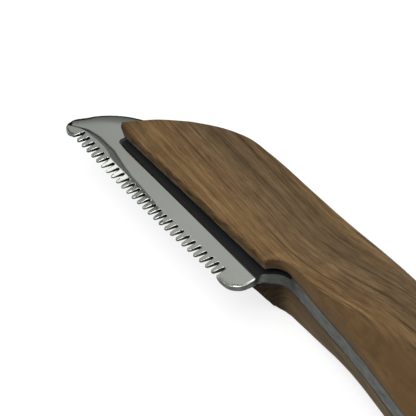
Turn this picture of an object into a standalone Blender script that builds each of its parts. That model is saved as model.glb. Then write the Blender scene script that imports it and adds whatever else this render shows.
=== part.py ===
"""Stripping knife: a one-piece steel plate, toothed blade and full tang, between two walnut scales.

The knife lies on its back. +X runs from the nose of the blade to the butt, +Y from the teeth to the
spine, +Z out of the front face. Plan sizes are counted from the first gullet, heights from the back
face of the plate. All lengths are in metres.
"""
import math

import bmesh
import bpy
import numpy as np
from mathutils import Vector
from mathutils.geometry import interpolate_bezier

# The toothed edge
tooth_count = 26
tooth_pitch = 0.0018
tooth_length = 0.0026
gullet_root_width = 0.00056
gullet_flare = math.radians(6.5)
tooth_line_bow = 0.00065

# The plate seen from its front
nose_length = 0.0044
heel_length = 0.0060
spine_run = 0.0353
blade_rise = 0.0243
choil_rise = 0.0080
choil_length = 0.0061
grip_length = 0.0917
grip_back_swell = 0.0002
grip_belly_drop = 0.0056

# The plate in section
tang_thickness = 0.00365
relief_depth = 0.0009
relief_length = 0.0045
relief_radius = 0.0009
hollow_top = 0.0046
hollow_depth = 0.00205
tooth_thinning = 0.00022
heel_hollow_depth = 0.00130
land_top = 0.0014
land_step_width = 0.0010
land_step_depth = 0.00016
land_tilt = math.radians(0.42)

# The front scale, with the thin wing over the blade
seat_gap = 0.0003
wing_tip_place = 0.0052
wing_edge = 0.0049
wing_end_run = 0.0080
wing_tip_gap = 0.00035
wing_tip_top = 0.00215
wing_heel_top = 0.00275
wing_arris = 0.00035
wing_tip_round = 0.0008
front_height = 0.0085
front_side_run = 0.0060
front_side_start = 0.0090
front_side_length = 0.0340
swell_start = 0.0030
swell_length = 0.0410
choil_setback = 0.0004

# The back scale
back_height = 0.0080
back_choil_run = 0.0002
back_side_run = 0.0046
back_side_start = 0.0020
back_side_length = 0.0275
back_toe_length = 0.0016
back_ramp_length = 0.0062
back_ramp_lip = 0.0008
back_end_skew = 0.0060
back_end_blend = 0.0200

# Both scales
side_wall = 0.0012
spine_side_run = 0.0085
butt_rounding = 0.0085
butt_wall = 0.0016
ridge_round = 0.0030

# The pins
pin_diameter = 0.0040
pin_embed = 0.0030
pin_clearance = 0.0003
front_pin_place = 0.0200
middle_pin_place = 0.0480
rear_pin_place = 0.0760

# How finely curves are drawn
curve_steps = 7
corner_steps = 4
profile_steps = 5
arc_steps = 10
pin_sides = 32
station_count = 64
cut_overrun = 0.0020
weld_distance = 0.000001
crease_angle = math.radians(35)

# Shares of the sizes that they follow: the choil's undercut of the heel, and the widest that a
# scale's side may take of its width
choil_undercut_share = 0.07
widest_side_share = 0.45

# Sizes worked out from the ones above
toothed_length = tooth_count * tooth_pitch
heel_end = toothed_length + heel_length
choil_start = heel_end - heel_length * choil_undercut_share
choil_end = choil_start + choil_length
butt_end = choil_end + grip_length
relief_end = heel_end + relief_length
face_height = tang_thickness - relief_depth
grip_width = blade_rise - choil_rise

# Places along the outline, as shares of the size that each stretch follows.
# Heel: share of the heel's length and of a tooth's length.
heel_low_shares = [(0.22, -1.06), (0.44, -1.06), (0.67, -0.91), (0.85, -0.55), (0.96, -0.12)]
# Back of the heel: share of the heel's length and of the choil's rise.
heel_back_shares = [(1.0, 0.16), (0.985, 0.32), (0.94, 0.46)]
# Choil: share of the choil's length and of its rise.
choil_shares = [(0.02, 0.56), (0.14, 0.70), (0.34, 0.875), (0.54, 0.962), (0.76, 0.996), (1.0, 0.985)]
# Grip, teeth side: share of the grip's length and of the belly's drop.
grip_front_shares = [
    (0.09, 0.19),
    (0.165, 0.30),
    (0.24, 0.45),
    (0.30, 0.60),
    (0.40, 0.85),
    (0.51, 1.0),
    (0.63, 0.93),
    (0.75, 0.66),
    (0.86, 0.42),
    (0.945, 0.10),
]
# Butt: share of the grip's length and of the grip's width, from the choil's height.
butt_shares = [(0.985, 0.18), (1.0, 0.46), (0.983, 0.78), (0.93, 1.0)]
# Grip, spine side: share of the grip's length and of the back's swell.
grip_back_shares = [(0.82, 0.90), (0.64, 1.0), (0.46, 0.85), (0.30, 0.50), (0.16, 0.28), (0.02, 0.1)]
# Spine of the blade: share of the spine's run from the nose and of the blade's rise.
spine_shares = [
    (1.35, 1.006),
    (1.0, 1.004),
    (0.822, 0.970),
    (0.674, 0.876),
    (0.479, 0.680),
    (0.258, 0.490),
    (0.159, 0.385),
    (0.094, 0.282),
    (0.026, 0.110),
    (0.0, 0.012),
]
# Nose land: share of the nose's length and of a tooth's length.
nose_shares = [(-0.985, -0.20), (-0.90, -0.68), (-0.64, -1.05), (-0.37, -1.16)]
# End of the wing: share of its run and of the spine's height where it gets there.
wing_end_shares = [(0.0, 0.0), (0.06, 0.115), (0.30, 0.40), (0.47, 0.59), (0.64, 0.735), (1.0, 1.0)]
# Ramp at the front of the back scale: share of its run and of the scale's height.
back_ramp_shares = [
    (0.0, 0.0),
    (0.12, 0.03),
    (0.24, 0.12),
    (0.34, 0.31),
    (0.45, 0.58),
    (0.62, 0.88),
    (1.0, 1.0),
]
# Toe of the back scale, under the heel: share of its length and of the choil's rise.
back_toe_shares = [
    (0.0, 0.42),
    (0.15, 0.37),
    (0.45, 0.375),
    (0.90, 0.44),
    (1.30, 0.56),
    (1.65, 0.69),
    (2.0, 0.80),
]
# Sections close together at a scale's ends and round its choil: shares of its length, and of the choil's.
fine_end_shares = [0.0004, 0.003, 0.008, 0.016, 0.03]
even_end_share = 0.045
choil_station_shares = [-0.02, 0.01, 0.04, 0.08, 0.14, 0.22, 0.32, 0.45]
# Crease above the tooth land, round the nose: share of the nose's length and of the land's top.
crease_shares = [(-1.25, -2.0), (-0.75, -0.86), (-0.45, -0.14), (-0.20, 0.42), (0.10, 0.86), (0.45, 1.0)]


def clear_scene():
    for item in list(bpy.data.objects):
        bpy.data.objects.remove(item, do_unlink=True)


def new_collection(name):
    group = bpy.data.collections.new(name)
    bpy.context.scene.collection.children.link(group)
    return group


def finish_material(name, colour, metallic, roughness):
    material = bpy.data.materials.new(name)
    material.use_nodes = True
    shader = material.node_tree.nodes["Principled BSDF"]
    shader.inputs["Base Color"].default_value = colour
    shader.inputs["Metallic"].default_value = metallic
    shader.inputs["Roughness"].default_value = roughness
    return material


def flowing_line(points, steps):
    """A smooth line through the points, as a list of plan places."""
    knots = [Vector((x, y, 0)) for x, y in points]
    lengths = [(b - a).length for a, b in zip(knots, knots[1:])]
    tangents = [(knots[1] - knots[0]) / lengths[0]]
    for i in range(1, len(knots) - 1):
        before = (knots[i] - knots[i - 1]) / lengths[i - 1]
        after = (knots[i + 1] - knots[i]) / lengths[i]
        blend = lengths[i - 1] / (lengths[i - 1] + lengths[i])
        tangents.append(before.lerp(after, blend))
    tangents.append((knots[-1] - knots[-2]) / lengths[-1])
    line = []
    for i, length in enumerate(lengths):
        out_handle = knots[i] + tangents[i] * length / 3
        in_handle = knots[i + 1] - tangents[i + 1] * length / 3
        line.extend(interpolate_bezier(knots[i], out_handle, in_handle, knots[i + 1], steps + 1)[:-1])
    line.append(knots[-1])
    return [(p.x, p.y) for p in line]


def eased_corners(corners, cuts, steps):
    """A polyline whose corners are eased by quarter ellipses, each with a cut before and one after."""
    line = [corners[0]]
    for i in range(1, len(corners) - 1):
        corner = Vector(corners[i])
        before = Vector(corners[i - 1]) - corner
        after = Vector(corners[i + 1]) - corner
        cut_before, cut_after = cuts[i - 1]
        start = corner + before.normalized() * cut_before
        end = corner + after.normalized() * cut_after
        for k in range(steps + 1):
            angle = math.pi / 2 * k / steps
            p = start + (corner - start) * math.sin(angle) + (end - corner) * (1 - math.cos(angle))
            line.append((p.x, p.y))
    line.append(corners[-1])
    return line


def tooth_root(x):
    """Height of the gullet roots: the tooth line bows outwards in its middle."""
    share = min(max(x / toothed_length, 0), 1)
    return -tooth_line_bow * 4 * share * (1 - share)


def toothed_edge():
    """The edge from the nose land's last corner to the heel land's first one."""
    root_half = gullet_root_width / 2
    mouth_half = root_half + tooth_length * math.tan(gullet_flare)
    tip_cut = tooth_pitch / 2 - mouth_half
    corners = [(-mouth_half - tip_cut, -tooth_length)]
    cuts = []
    for i in range(tooth_count + 1):
        x = i * tooth_pitch
        root = tooth_root(x)
        tip = root - tooth_length
        corners += [(x - mouth_half, tip), (x - root_half, root)]
        corners += [(x + root_half, root), (x + mouth_half, tip)]
        cuts += [(tip_cut, tip_cut), (root_half, root_half), (root_half, root_half), (tip_cut, tip_cut)]
    return eased_corners(corners, cuts[:-1], corner_steps)


def rear_outline(edge):
    """From the heel land round the choil, grip, butt and spine to the nose land."""
    points = [edge[-1]]
    points += [(toothed_length + heel_length * a, tooth_length * b) for a, b in heel_low_shares]
    points += [(toothed_length + heel_length * a, choil_rise * b) for a, b in heel_back_shares]
    points += [(choil_start + choil_length * a, choil_rise * b) for a, b in choil_shares]
    points += [(choil_end + grip_length * a, choil_rise - grip_belly_drop * b) for a, b in grip_front_shares]
    points += [(choil_end + grip_length * a, choil_rise + grip_width * b) for a, b in butt_shares]
    points += [(choil_end + grip_length * a, blade_rise + grip_back_swell * b) for a, b in grip_back_shares]
    points += [(spine_run * a - nose_length, blade_rise * b) for a, b in spine_shares]
    points += [(nose_length * a, tooth_length * b) for a, b in nose_shares]
    points.append(edge[0])
    return flowing_line(points, curve_steps)


edge_line = toothed_edge()
rear_line = rear_outline(edge_line)
outline = edge_line + rear_line[1:-1]
butt_index = max(range(len(rear_line)), key=lambda i: rear_line[i][0])
nose_index = min(range(len(rear_line)), key=lambda i: rear_line[i][0])
choil_index = min(
    (i for i in range(butt_index) if rear_line[i][1] > choil_rise / 3), key=lambda i: rear_line[i][0]
)
front_line = rear_line[choil_index : butt_index + 1]
back_line = rear_line[butt_index : nose_index + 1][::-1]


def line_height(line, x):
    return float(np.interp(x, [p[0] for p in line], [p[1] for p in line]))


def line_slope(line, x):
    step = tooth_pitch / 8
    rise = line_height(line, x + step) - line_height(line, x - step)
    return rise / step / 2


def eased_share(x, start, length):
    share = min(max((x - start) / length, 0), 1)
    return share * share * (3 - 2 * share)


def flat_solid(name, group, points, low, high):
    """A closed solid from a plan outline, between two heights."""
    curve = bpy.data.curves.new(name + "_outline", "CURVE")
    curve.dimensions = "2D"
    curve.fill_mode = "BOTH"
    curve.extrude = (high - low) / 2
    spline = curve.splines.new("POLY")
    spline.points.add(len(points) - 1)
    for knot, (x, y) in zip(spline.points, points):
        knot.co = (x, y, 0, 1)
    spline.use_cyclic_u = True
    spline.use_smooth = False
    drawn = bpy.data.objects.new(name + "_outline", curve)
    group.objects.link(drawn)
    evaluated = drawn.evaluated_get(bpy.context.evaluated_depsgraph_get())
    mesh = bpy.data.meshes.new_from_object(evaluated)
    bpy.data.objects.remove(drawn)
    bm = bmesh.new()
    bm.from_mesh(mesh)
    bmesh.ops.remove_doubles(bm, verts=bm.verts, dist=weld_distance)
    bmesh.ops.translate(bm, verts=bm.verts, vec=(0, 0, (high + low) / 2))
    bmesh.ops.recalc_face_normals(bm, faces=bm.faces)
    bm.to_mesh(mesh)
    bm.free()
    return placed(name, group, mesh)


def placed(name, group, mesh):
    item = bpy.data.objects.new(name, mesh)
    group.objects.link(item)
    item.parent = knife_frame
    return item


def make_cutter(item):
    item.hide_render = True
    item.display_type = "WIRE"
    for group in list(item.users_collection):
        group.objects.unlink(item)
    cutters.objects.link(item)
    return item


def cut(item, cutter):
    modifier = item.modifiers.new(cutter.name, "BOOLEAN")
    modifier.operation = "DIFFERENCE"
    modifier.solver = "EXACT"
    modifier.object = cutter


def section_solid(name, points, low, high):
    """A cutter whose section is drawn in the upright plane square to the Y axis."""
    item = flat_solid(name, cutters, points, low, high)
    bm = bmesh.new()
    bm.from_mesh(item.data)
    for vert in bm.verts:
        x, y, z = vert.co
        vert.co = (x, z, y)
    bm.normal_update()
    bmesh.ops.recalc_face_normals(bm, faces=bm.faces)
    bm.to_mesh(item.data)
    bm.free()
    return make_cutter(item)


def hollow_ring(bm, x, depth_share):
    """The grinding wheel's section across the blade, as a ring of vertices."""
    wheel_radius = (hollow_top**2 + hollow_depth**2) / hollow_depth / 2
    section = [(hollow_top, -cut_overrun)]
    for k in range(arc_steps + 1):
        y = hollow_top * (1 - k / arc_steps)
        rise = hollow_depth - wheel_radius + math.sqrt(wheel_radius**2 - y**2)
        section.append((y, rise * depth_share))
    section.append((-tooth_length * 2, (hollow_depth + tooth_thinning * 2) * depth_share))
    section.append((-tooth_length * 2, -cut_overrun))
    return [bm.verts.new((x, y, z)) for y, z in section]


def make_plate(pin_holes):
    """The plate: its outline, then the pin holes and the grinding passes."""
    plate = flat_solid("blade_and_tang", knife, outline, 0, tang_thickness)
    for hole in pin_holes:
        cut(plate, hole)
    left = -nose_length - cut_overrun
    above = tang_thickness + cut_overrun
    below = -tooth_length * 2 - cut_overrun
    beyond = blade_rise + grip_back_swell + cut_overrun

    # The front is ground down under the wing and over the whole blade, with a round run-out.
    relief = [(left, above), (left, face_height), (relief_end - relief_radius, face_height)]
    for k in range(1, arc_steps + 1):
        angle = math.pi / 2 * k / arc_steps
        reach = relief_radius * math.sin(angle)
        lift = relief_radius * (1 - math.cos(angle))
        relief.append((relief_end - relief_radius + reach, face_height + lift))
    relief.append((relief_end, above))
    cut(plate, section_solid("relief_cut", relief, below, beyond))

    # The back is hollow ground by a small wheel, up to a line parallel to the teeth. The grind gets
    # shallower along the heel.
    heel_share = heel_hollow_depth / hollow_depth
    passes = [(left, 1), (toothed_length - tooth_pitch, 1), (heel_end + heel_length / 8, heel_share)]
    hollow_cut = loft("hollow_cut", lambda bm: [hollow_ring(bm, x, share) for x, share in passes])
    cut(plate, make_cutter(hollow_cut))

    # The tooth land steps down from the polished face along a crease that curves in at the nose.
    crease = [(nose_length * a, land_top * b) for a, b in crease_shares]
    land = flowing_line(crease, curve_steps)
    land += [(heel_end + cut_overrun, land_top), (heel_end + cut_overrun, below), (crease[0][0], below)]
    land_cut = flat_solid("land_cut", cutters, land, 0, cut_overrun)
    bm = bmesh.new()
    bm.from_mesh(land_cut.data)
    floor_faces = [f for f in bm.faces if f.calc_center_median().z < weld_distance]
    bmesh.ops.inset_region(
        bm, faces=floor_faces, thickness=land_step_width, depth=land_step_depth, use_even_offset=True
    )
    bm.to_mesh(land_cut.data)
    bm.free()
    land_cut.rotation_euler = (0, -land_tilt, 0)
    land_cut.location = (0, 0, face_height - nose_length * math.tan(land_tilt))
    cut(plate, make_cutter(land_cut))
    return plate


def section_ring(bm, front, back, floor, corners, cuts, face_sign):
    """One cross-section of a scale, from its front edge to its back edge, as a ring of vertices."""
    width = math.dist(front, back)
    ring = []
    for across, up in eased_corners(corners, cuts, profile_steps):
        share = across / width
        x = front[0] + (back[0] - front[0]) * share
        y = front[1] + (back[1] - front[1]) * share
        ring.append(bm.verts.new((x, y, floor + up * face_sign)))
    return ring


def loft(name, rings_of):
    """A closed solid through cross-sections: neighbours are joined and both ends are capped."""
    bm = bmesh.new()
    rings = rings_of(bm)
    for ring, following in zip(rings, rings[1:]):
        for i in range(len(ring)):
            k = (i + 1) % len(ring)
            bm.faces.new((ring[i], ring[k], following[k], following[i]))
    bm.faces.new(rings[0])
    bm.faces.new(rings[-1])
    bmesh.ops.remove_doubles(bm, verts=bm.verts, dist=weld_distance)
    bmesh.ops.triangulate(bm, faces=[f for f in bm.faces if len(f.verts) > 3])
    bmesh.ops.recalc_face_normals(bm, faces=bm.faces)
    mesh = bpy.data.meshes.new(name)
    bm.to_mesh(mesh)
    bm.free()
    mesh.shade_smooth()
    mesh.set_sharp_from_angle(angle=crease_angle)
    return placed(name, knife, mesh)


def round_share(run, length):
    """Rises from 0 to 1 over the length as a quarter of a circle does."""
    near = min(max(run / length, 0), 1)
    return math.sqrt(1 - (1 - near) ** 2)


def stations(start, end):
    """Places along a scale, close together at both ends."""
    run = end - start
    shares = fine_end_shares + list(np.linspace(even_end_share, 1 - even_end_share, station_count))
    shares += [1 - share for share in fine_end_shares]
    return sorted(start + run * float(share) for share in shares)


def blend(low, high, share):
    return low + (high - low) * share


def front_scale_rings(bm):
    """The wing runs parallel to the teeth, then the scale follows the choil and the tang."""
    wing_end = wing_tip_place + wing_end_run
    spine_rise = line_height(back_line, wing_end) - wing_edge
    tip_points = [(wing_tip_place + wing_end_run * a, wing_edge + spine_rise * b) for a, b in wing_end_shares]
    tip_line = flowing_line(tip_points, curve_steps)
    corner_place = choil_start + choil_setback
    tip_floor = face_height + wing_tip_gap
    rings = []
    places = stations(wing_tip_place, butt_end)
    places += [corner_place + choil_length * share for share in choil_station_shares]
    for x in sorted(places):
        back_y = line_height(back_line, x)
        steepness = line_slope(back_line, x)
        if x < wing_end:
            back_y = min(line_height(tip_line, x), back_y)
            steepness = line_slope(tip_line, x)
        front_y = wing_edge + wing_tip_round * (1 - round_share(x - wing_tip_place, wing_tip_round))
        if x > corner_place:
            front_y = line_height(front_line, x + choil_setback)
        width = back_y - front_y
        swell = eased_share(x, heel_end - swell_start, swell_length)
        side = eased_share(x, heel_end + front_side_start, front_side_length)
        toward_heel = ramp_share(x, wing_tip_place, heel_end - wing_tip_place)
        wing_top = blend(wing_tip_top, wing_heel_top, toward_heel)
        top = tang_thickness + blend(wing_top, front_height, swell)
        toward_tang = ramp_share(x, wing_tip_place, relief_end - wing_tip_place)
        floor = blend(tip_floor, tang_thickness + seat_gap, toward_tang)
        height = blend(butt_wall, top - floor, round_share(butt_end - x, butt_rounding))
        front_run = min(blend(wing_arris, front_side_run, side), width * widest_side_share)
        wall = min(blend(height - wing_arris, side_wall, side), height - wing_arris)
        side_length = math.hypot(front_run, height - wall)
        ridge = min(blend(wing_arris, ridge_round, side), side_length / 2)
        back_run = blend(wing_arris, spine_side_run, swell) * math.hypot(1, steepness)
        back_run = min(back_run, width * widest_side_share)
        back_fall = blend(wing_arris, height - side_wall, swell)
        corners = [(0, 0), (0, wall), (front_run, height), (width, height), (width, 0)]
        ease = min(wall, side_length, ridge) / 2
        cuts = [(ease, ease), (ridge, ridge), (back_run, back_fall)]
        rings.append(section_ring(bm, (x, front_y), (x, back_y), floor, corners, cuts, 1))
    return rings


def ramp_share(x, start, length):
    return min(max((x - start) / length, 0), 1)


def back_scale_rings(bm):
    """A steep ramp behind the heel, then oval sides like those of the front scale."""
    start = choil_start - back_toe_length
    full = back_height - seat_gap
    ramp_line = flowing_line(back_ramp_shares, curve_steps)
    toe_points = [(start + back_toe_length * a, choil_rise * b) for a, b in back_toe_shares]
    toe_end = toe_points[-1][0]
    toe_line = flowing_line(toe_points, curve_steps) + [p for p in front_line if p[0] > toe_end]
    rings = []
    places = stations(start, butt_end)
    places += [start + back_ramp_length * share for share, height_share in ramp_line[1:]]
    for x in sorted(places):
        front_y = line_height(toe_line, x)
        back_x = x - back_end_skew * (1 - eased_share(x, start, back_end_blend))
        back_y = line_height(back_line, back_x)
        rise = line_height(ramp_line, ramp_share(x, start, back_ramp_length))
        height = blend(back_ramp_lip, full, rise)
        height = blend(butt_wall, height, round_share(butt_end - x, butt_rounding))
        width = math.dist((x, front_y), (back_x, back_y))
        side = eased_share(x, heel_end + back_side_start, back_side_length)
        front_run = min(blend(back_choil_run, back_side_run, side) * rise + back_ramp_lip / 4, width / 2)
        back_run = spine_side_run * rise + back_ramp_lip
        back_run = min(back_run * math.hypot(1, line_slope(back_line, back_x)), width * widest_side_share)
        wall = min(side_wall, height / 2)
        fall = height - wall
        corners = [(0, 0), (0, height), (width, height), (width, 0)]
        cuts = [(fall, front_run), (back_run, fall)]
        rings.append(section_ring(bm, (x, front_y), (back_x, back_y), -seat_gap, corners, cuts, -1))
    return rings


def make_pin(name, place):
    """A blind pin across the tang, half way over the grip."""
    x = heel_end + place
    y = (line_height(front_line, x) + line_height(back_line, x)) / 2
    length = tang_thickness + pin_embed * 2
    bpy.ops.mesh.primitive_cylinder_add(vertices=pin_sides, radius=pin_diameter / 2, depth=length)
    pin = bpy.context.object
    pin.name = name
    pin.data.name = name
    move_to(pin, knife)
    pin.parent = knife_frame
    pin.location = (x, y, tang_thickness / 2)
    pin.data.shade_smooth()
    pin.data.set_sharp_from_angle(angle=crease_angle)
    hole_radius = pin_diameter / 2 + pin_clearance
    bpy.ops.mesh.primitive_cylinder_add(
        vertices=pin_sides, radius=hole_radius, depth=length + pin_clearance * 2
    )
    hole = bpy.context.object
    hole.name = name + "_hole"
    hole.parent = knife_frame
    hole.location = pin.location
    return pin, make_cutter(hole)


def move_to(item, group):
    for old in list(item.users_collection):
        old.objects.unlink(item)
    group.objects.link(item)


clear_scene()
knife = new_collection("stripping_knife")
cutters = new_collection("cutters")
steel = finish_material("polished_steel", (0.55, 0.58, 0.55, 1), 1.0, 0.18)
walnut = finish_material("walnut", (0.20, 0.125, 0.07, 1), 0.0, 0.5)
shaded_walnut = finish_material("dark_walnut", (0.10, 0.07, 0.045, 1), 0.0, 0.55)
pin_steel = finish_material("pin_steel", (0.45, 0.45, 0.44, 1), 1.0, 0.35)

# The frame puts the origin under the middle of the knife, on the surface that it lies on.
knife_frame = bpy.data.objects.new("knife_frame", None)
knife.objects.link(knife_frame)
xs = [p[0] for p in outline]
ys = [p[1] for p in outline]
knife_frame.location = (-(min(xs) + max(xs)) / 2, -(min(ys) + max(ys)) / 2, back_height)
bpy.context.view_layer.update()

pins = [
    make_pin("front_pin", front_pin_place),
    make_pin("middle_pin", middle_pin_place),
    make_pin("rear_pin", rear_pin_place),
]
for pin, hole in pins:
    pin.data.materials.append(pin_steel)
plate = make_plate([hole for pin, hole in pins])
plate.data.materials.append(steel)
front_scale = loft("front_scale", front_scale_rings)
front_scale.data.materials.append(walnut)
back_scale = loft("back_scale", back_scale_rings)
back_scale.data.materials.append(shaded_walnut)
for scale in (front_scale, back_scale):
    for pin, hole in pins:
        cut(scale, hole)
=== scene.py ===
"""Looks of the stripping knife: polished toothed blade, satin tang, oiled walnut scales, plain studio."""
import math

import bmesh
import bpy
from mathutils import Matrix, Vector
from mathutils.geometry import interpolate_bezier
from mathutils.kdtree import KDTree


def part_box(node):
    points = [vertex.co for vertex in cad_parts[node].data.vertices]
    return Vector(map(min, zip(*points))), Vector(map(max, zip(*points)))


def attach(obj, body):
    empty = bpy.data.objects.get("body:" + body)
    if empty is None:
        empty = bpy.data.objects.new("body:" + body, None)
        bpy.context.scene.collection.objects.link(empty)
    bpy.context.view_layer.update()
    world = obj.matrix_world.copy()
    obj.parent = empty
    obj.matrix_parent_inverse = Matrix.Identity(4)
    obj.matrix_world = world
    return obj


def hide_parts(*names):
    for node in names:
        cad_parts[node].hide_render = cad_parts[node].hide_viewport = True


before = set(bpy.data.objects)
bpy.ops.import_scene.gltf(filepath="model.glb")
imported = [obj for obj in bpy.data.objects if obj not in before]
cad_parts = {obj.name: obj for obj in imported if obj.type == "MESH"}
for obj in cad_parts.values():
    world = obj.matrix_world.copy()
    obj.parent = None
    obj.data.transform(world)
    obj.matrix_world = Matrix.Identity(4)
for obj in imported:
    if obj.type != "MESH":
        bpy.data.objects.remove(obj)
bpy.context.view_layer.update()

# The plate is one piece of stainless steel, the toothed blade in front and the full tang behind it. It
# is stamped out, hollow ground on its back and polished on its face; a fine stone has broken its rims.
plate_low, plate_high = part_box("blade_and_tang")
tooth_count = 26
tooth_pitch = 0.0018
tooth_length = 0.0026
tooth_line_bow = 0.00065
nose_length = 0.0044
heel_length = 0.0060
relief_length = 0.0045
tang_thickness = plate_high.z - plate_low.z
face_height = 0.00275
tooth_reach = tooth_length + tooth_line_bow
toothed_length = tooth_count * tooth_pitch
heel_end = toothed_length + heel_length
relief_end = heel_end + relief_length
tang_end = plate_high.x - plate_low.x - nose_length
first_gullet = Vector((plate_low.x + nose_length, plate_low.y + tooth_reach, plate_low.z))

# How far up the heel goes before the choil, and the pin holes, which the plate's outline leaves out
choil_foot = 0.00267
pin_hole_reach = 0.0030
pin_names = ("front_pin", "middle_pin", "rear_pin")
pin_places = [((sum(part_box(name), Vector()) / 2) - first_gullet).xy for name in pin_names]

# How finely the faces are cut, and where a rim counts as one
weld_distance = 0.000001
flat_angle = math.radians(0.5)
rim_angle = math.radians(40)
rim_break = 0.00007
crease_angle = math.radians(50)
wall_tilt = 0.9
step_reach = 0.0004
face_cell = 0.00025
heel_cell = 0.000125

# How polishing has rolled the face over: where each rim starts or ends, how wide and how deep the roll is
spine_foot = 0.0010
nose_foot = -0.0011
spine_roll_width = 0.0034
spine_roll_depth = 0.000148
spine_edge_width = 0.0003
spine_edge_depth = 0.000025
nose_edge_width = 0.0006
nose_edge_depth = 0.00005
nose_edge_end = -0.0031
nose_roll_width = 0.0008
nose_roll_depth = 0.000016
nose_roll_end = -0.0010
heel_roll_width = 0.0013
heel_roll_depth = 0.000006
heel_edge_width = 0.0006
heel_edge_depth = 0.0000185
heel_edge_start = 0.0515

# The hollow in the back: where it ends, and how much thicker it leaves the roots of the teeth
hollow_top = 0.0046
tooth_gain = 0.00030

# The finish of the steel, on the face and then on the stamped edge, with a painted shadow in the face's
# corner under the wing
painted_shadow_corner = Vector((0.00715, 0.00465, 0))
painted_shadow_corner_round = 0.0020
painted_shadow_corner_turn = (0, 0, -0.0185)
nose_stain = Vector((-0.00385, -0.00105, 0))
nose_stain_size = 0.00060
painted_shadow_corner_colour = (0.016, 0.0165, 0.018)
painted_shadow_corner_tones = [(0.45, 0.0), (0.56, 1.0)]
painted_shadow_corner_metal = [(0.39, 0.0), (0.44, 1.0)]
nose_stain_tones = [(0.70, 0.05), (1.0, 1.0)]
cloud_size = (0.020, 0.012, 0.012)
cloud_tones = [(0.3, (0.49, 0.52, 0.47)), (0.7, (0.53, 0.56, 0.51))]
brushing_size = (0.007, 0.00011, 0.0005)
brushing_roughness = [(0.3, 0.05), (0.7, 0.08)]
brushing_strength = 0.03
brushing_depth = 0.000006
mottle_size = (0.002, 0.002, 0.0011)
mottle_tones = [(0.3, (0.050, 0.054, 0.047)), (0.55, (0.065, 0.072, 0.063)), (0.8, (0.083, 0.091, 0.080))]
mottle_roughness = [(0.3, 0.55), (0.7, 0.38)]
mottle_strength = 0.3
mottle_depth = 0.00006
tooth_row_end = [(0.99, 0.0), (1.0, 1.0)]

# Plan places of the face's crease and of the land's edge, and the degrees by which the land falls
crease_places = [
    (-0.0050, -0.0021),
    (-0.0039, -0.0012),
    (-0.0025, -0.0003),
    (-0.0016, 0.0003),
    (-0.0008, 0.0007),
    (0.0001, 0.0011),
    (0.0014, 0.0014),
    (0.0030, 0.0017),
    (0.0080, 0.0017),
    (0.0121, 0.0008),
    (0.0162, 0.0001),
    (0.0196, -0.0001),
    (0.0250, -0.0006),
    (0.0280, -0.0011),
    (0.0310, -0.0034),
]
land_places = [
    (-0.0050, -0.0027),
    (-0.0030, -0.0012),
    (-0.0017, -0.0003),
    (-0.0008, 0.0001),
    (0.0005, 0.0004),
    (0.0035, 0.0007),
    (0.0058, 0.0007),
    (0.0075, 0.0005),
    (0.0087, 0.0001),
    (0.0097, -0.0002),
    (0.0123, -0.0003),
    (0.0194, -0.0004),
    (0.0250, -0.0009),
    (0.0280, -0.0014),
    (0.0310, -0.0035),
]
stripe_angles = [(-0.0050, 1.45), (0.0005, 1.50), (0.0035, 1.9), (0.0310, 1.9)]
tooth_angles = [
    (0.00895, 0.0),
    (0.00905, 3.5),
    (0.0152, 3.4),
    (0.0168, 2.45),
    (0.0300, 2.35),
    (0.0318, 1.2),
]

# Tones beside the crease, along the stamped edge, and from the tips of the teeth up the gullets: painted
# shade at the crease, a painted highlight on the heel's edge and painted shade at the choil, painted light at
# the tips and painted shade down in the gullets
crease_reach = 0.0060
painted_crease_shade_tones = [(0.395, 1.0), (0.425, 0.25), (0.460, 0.25), (0.490, 1.0)]
painted_crease_shade_strengths = [(0.0, 1.0), (0.0015, 0.70), (0.0080, 0.55), (0.0160, 0.0)]
# Painted highlight on the heel's edge and painted shade at the choil and on the tang behind it
wall_highlight_and_shade = [
    (0.0480, 1.0),
    (0.0495, 1.3),
    (0.0505, 2.0),
    (0.0522, 2.0),
    (0.0532, 1.1),
    (0.0545, 0.90),
    (0.0560, 0.80),
    (0.0590, 0.80),
    (0.0620, 0.95),
    (0.0700, 1.0),
]
gullet_shade_levels = [(0.075, 1.8), (0.15, 1.1), (0.25, 0.16), (0.325, 0.04), (0.52, 0.04), (0.70, 1.0)]


def welded_copy(node):
    """A copy of a CAD node's mesh in one skin, drawn from the first gullet."""
    bm = bmesh.new()
    bm.from_mesh(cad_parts[node].data)
    bmesh.ops.remove_doubles(bm, verts=bm.verts, dist=weld_distance)
    bmesh.ops.translate(bm, verts=bm.verts, vec=-first_gullet)
    return bm


def finished_piece(name, bm, material, node):
    """Puts a piece that was drawn from the first gullet into its place, and lets it stand for its node."""
    bmesh.ops.translate(bm, verts=bm.verts, vec=first_gullet)
    mesh = bpy.data.meshes.new(name)
    bm.to_mesh(mesh)
    bm.free()
    mesh.materials.append(material)
    piece = bpy.data.objects.new(name, mesh)
    bpy.context.scene.collection.objects.link(piece)
    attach(piece, "root")
    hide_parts(node)
    return piece


def outline_points(bm):
    """Where the plate's upright outer walls stand, seen from above. The pin holes are left out."""
    places = []
    for edge in bm.edges:
        a, b = (vert.co for vert in edge.verts)
        if math.dist(a.xy, b.xy) < weld_distance < abs(a.z - b.z):
            if min(math.dist(a.xy, middle) for middle in pin_places) > pin_hole_reach:
                places.append(a.xy)
    return places


def new_material(name):
    material = bpy.data.materials.new(name)
    material.use_nodes = True
    tree = material.node_tree
    return material, tree, tree.nodes["Principled BSDF"]


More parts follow.
